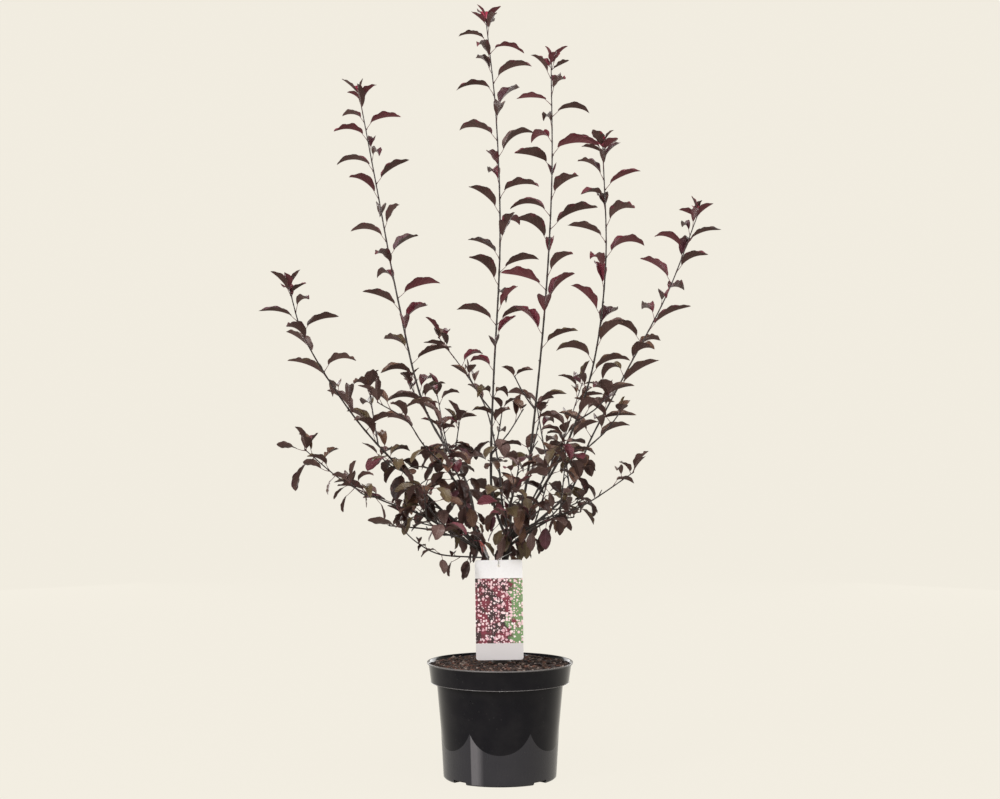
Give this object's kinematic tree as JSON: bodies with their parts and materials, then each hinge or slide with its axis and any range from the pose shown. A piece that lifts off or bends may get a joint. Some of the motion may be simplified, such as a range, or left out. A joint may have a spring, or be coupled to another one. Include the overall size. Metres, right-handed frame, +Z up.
{
  "type": "potted purple-leaf sand cherry",
  "caption": "Upright multi-stemmed shrub with long leafy purple shoots, in a round black plastic nursery pot with soil and a hanging plant label.",
  "frame": {"origin": "centre of the pot's flat underside", "axes": "+Z up along the pot's axis, -Y towards the front with the label, +X to the right"},
  "size_m": [0.7362, 0.4732, 1.223],
  "materials": {
    "black_plastic": "satin",
    "soil": "matte",
    "bark": "matte",
    "purple_leaf": "satin",
    "white_card": "satin",
    "clear_plastic": "satin"
  },
  "bodies": {
    "root": {"bough_back_left": "bark", "bough_back_middle": "bark", "bough_back_right": "bark", "bough_far_right": "bark", "bough_front_left": "bark", "bough_front_middle": "bark", "bough_left": "bark", "bough_low_left": "bark", "bough_low_right": "bark", "bough_right": "bark", "bough_tall_left": "bark", "bough_tall_right": "bark", "bough_tallest": "bark", "bough_trailing_left": "bark", "label_card": "white_card", "label_tie": "clear_plastic", "leaves_back_left": "purple_leaf", "leaves_back_middle": "purple_leaf", "leaves_back_right": "purple_leaf", "leaves_far_right": "purple_leaf", "leaves_front_left": "purple_leaf", "leaves_front_middle": "purple_leaf", "leaves_inner_1": "purple_leaf", "leaves_inner_2": "purple_leaf", "leaves_inner_3": "purple_leaf", "leaves_inner_4": "purple_leaf", "leaves_inner_5": "purple_leaf", "leaves_inner_6": "purple_leaf", "leaves_inner_7": "purple_leaf", "leaves_inner_8": "purple_leaf", "leaves_inner_9": "purple_leaf", "leaves_left": "purple_leaf", "leaves_low_left": "purple_leaf", "leaves_low_right": "purple_leaf", "leaves_right": "purple_leaf", "leaves_tall_left": "purple_leaf", "leaves_tall_right": "purple_leaf", "leaves_tallest": "purple_leaf", "leaves_trailing_left": "purple_leaf", "pot": "black_plastic", "soil": "soil", "trunk": "bark"}
  },
  "joints": []
}
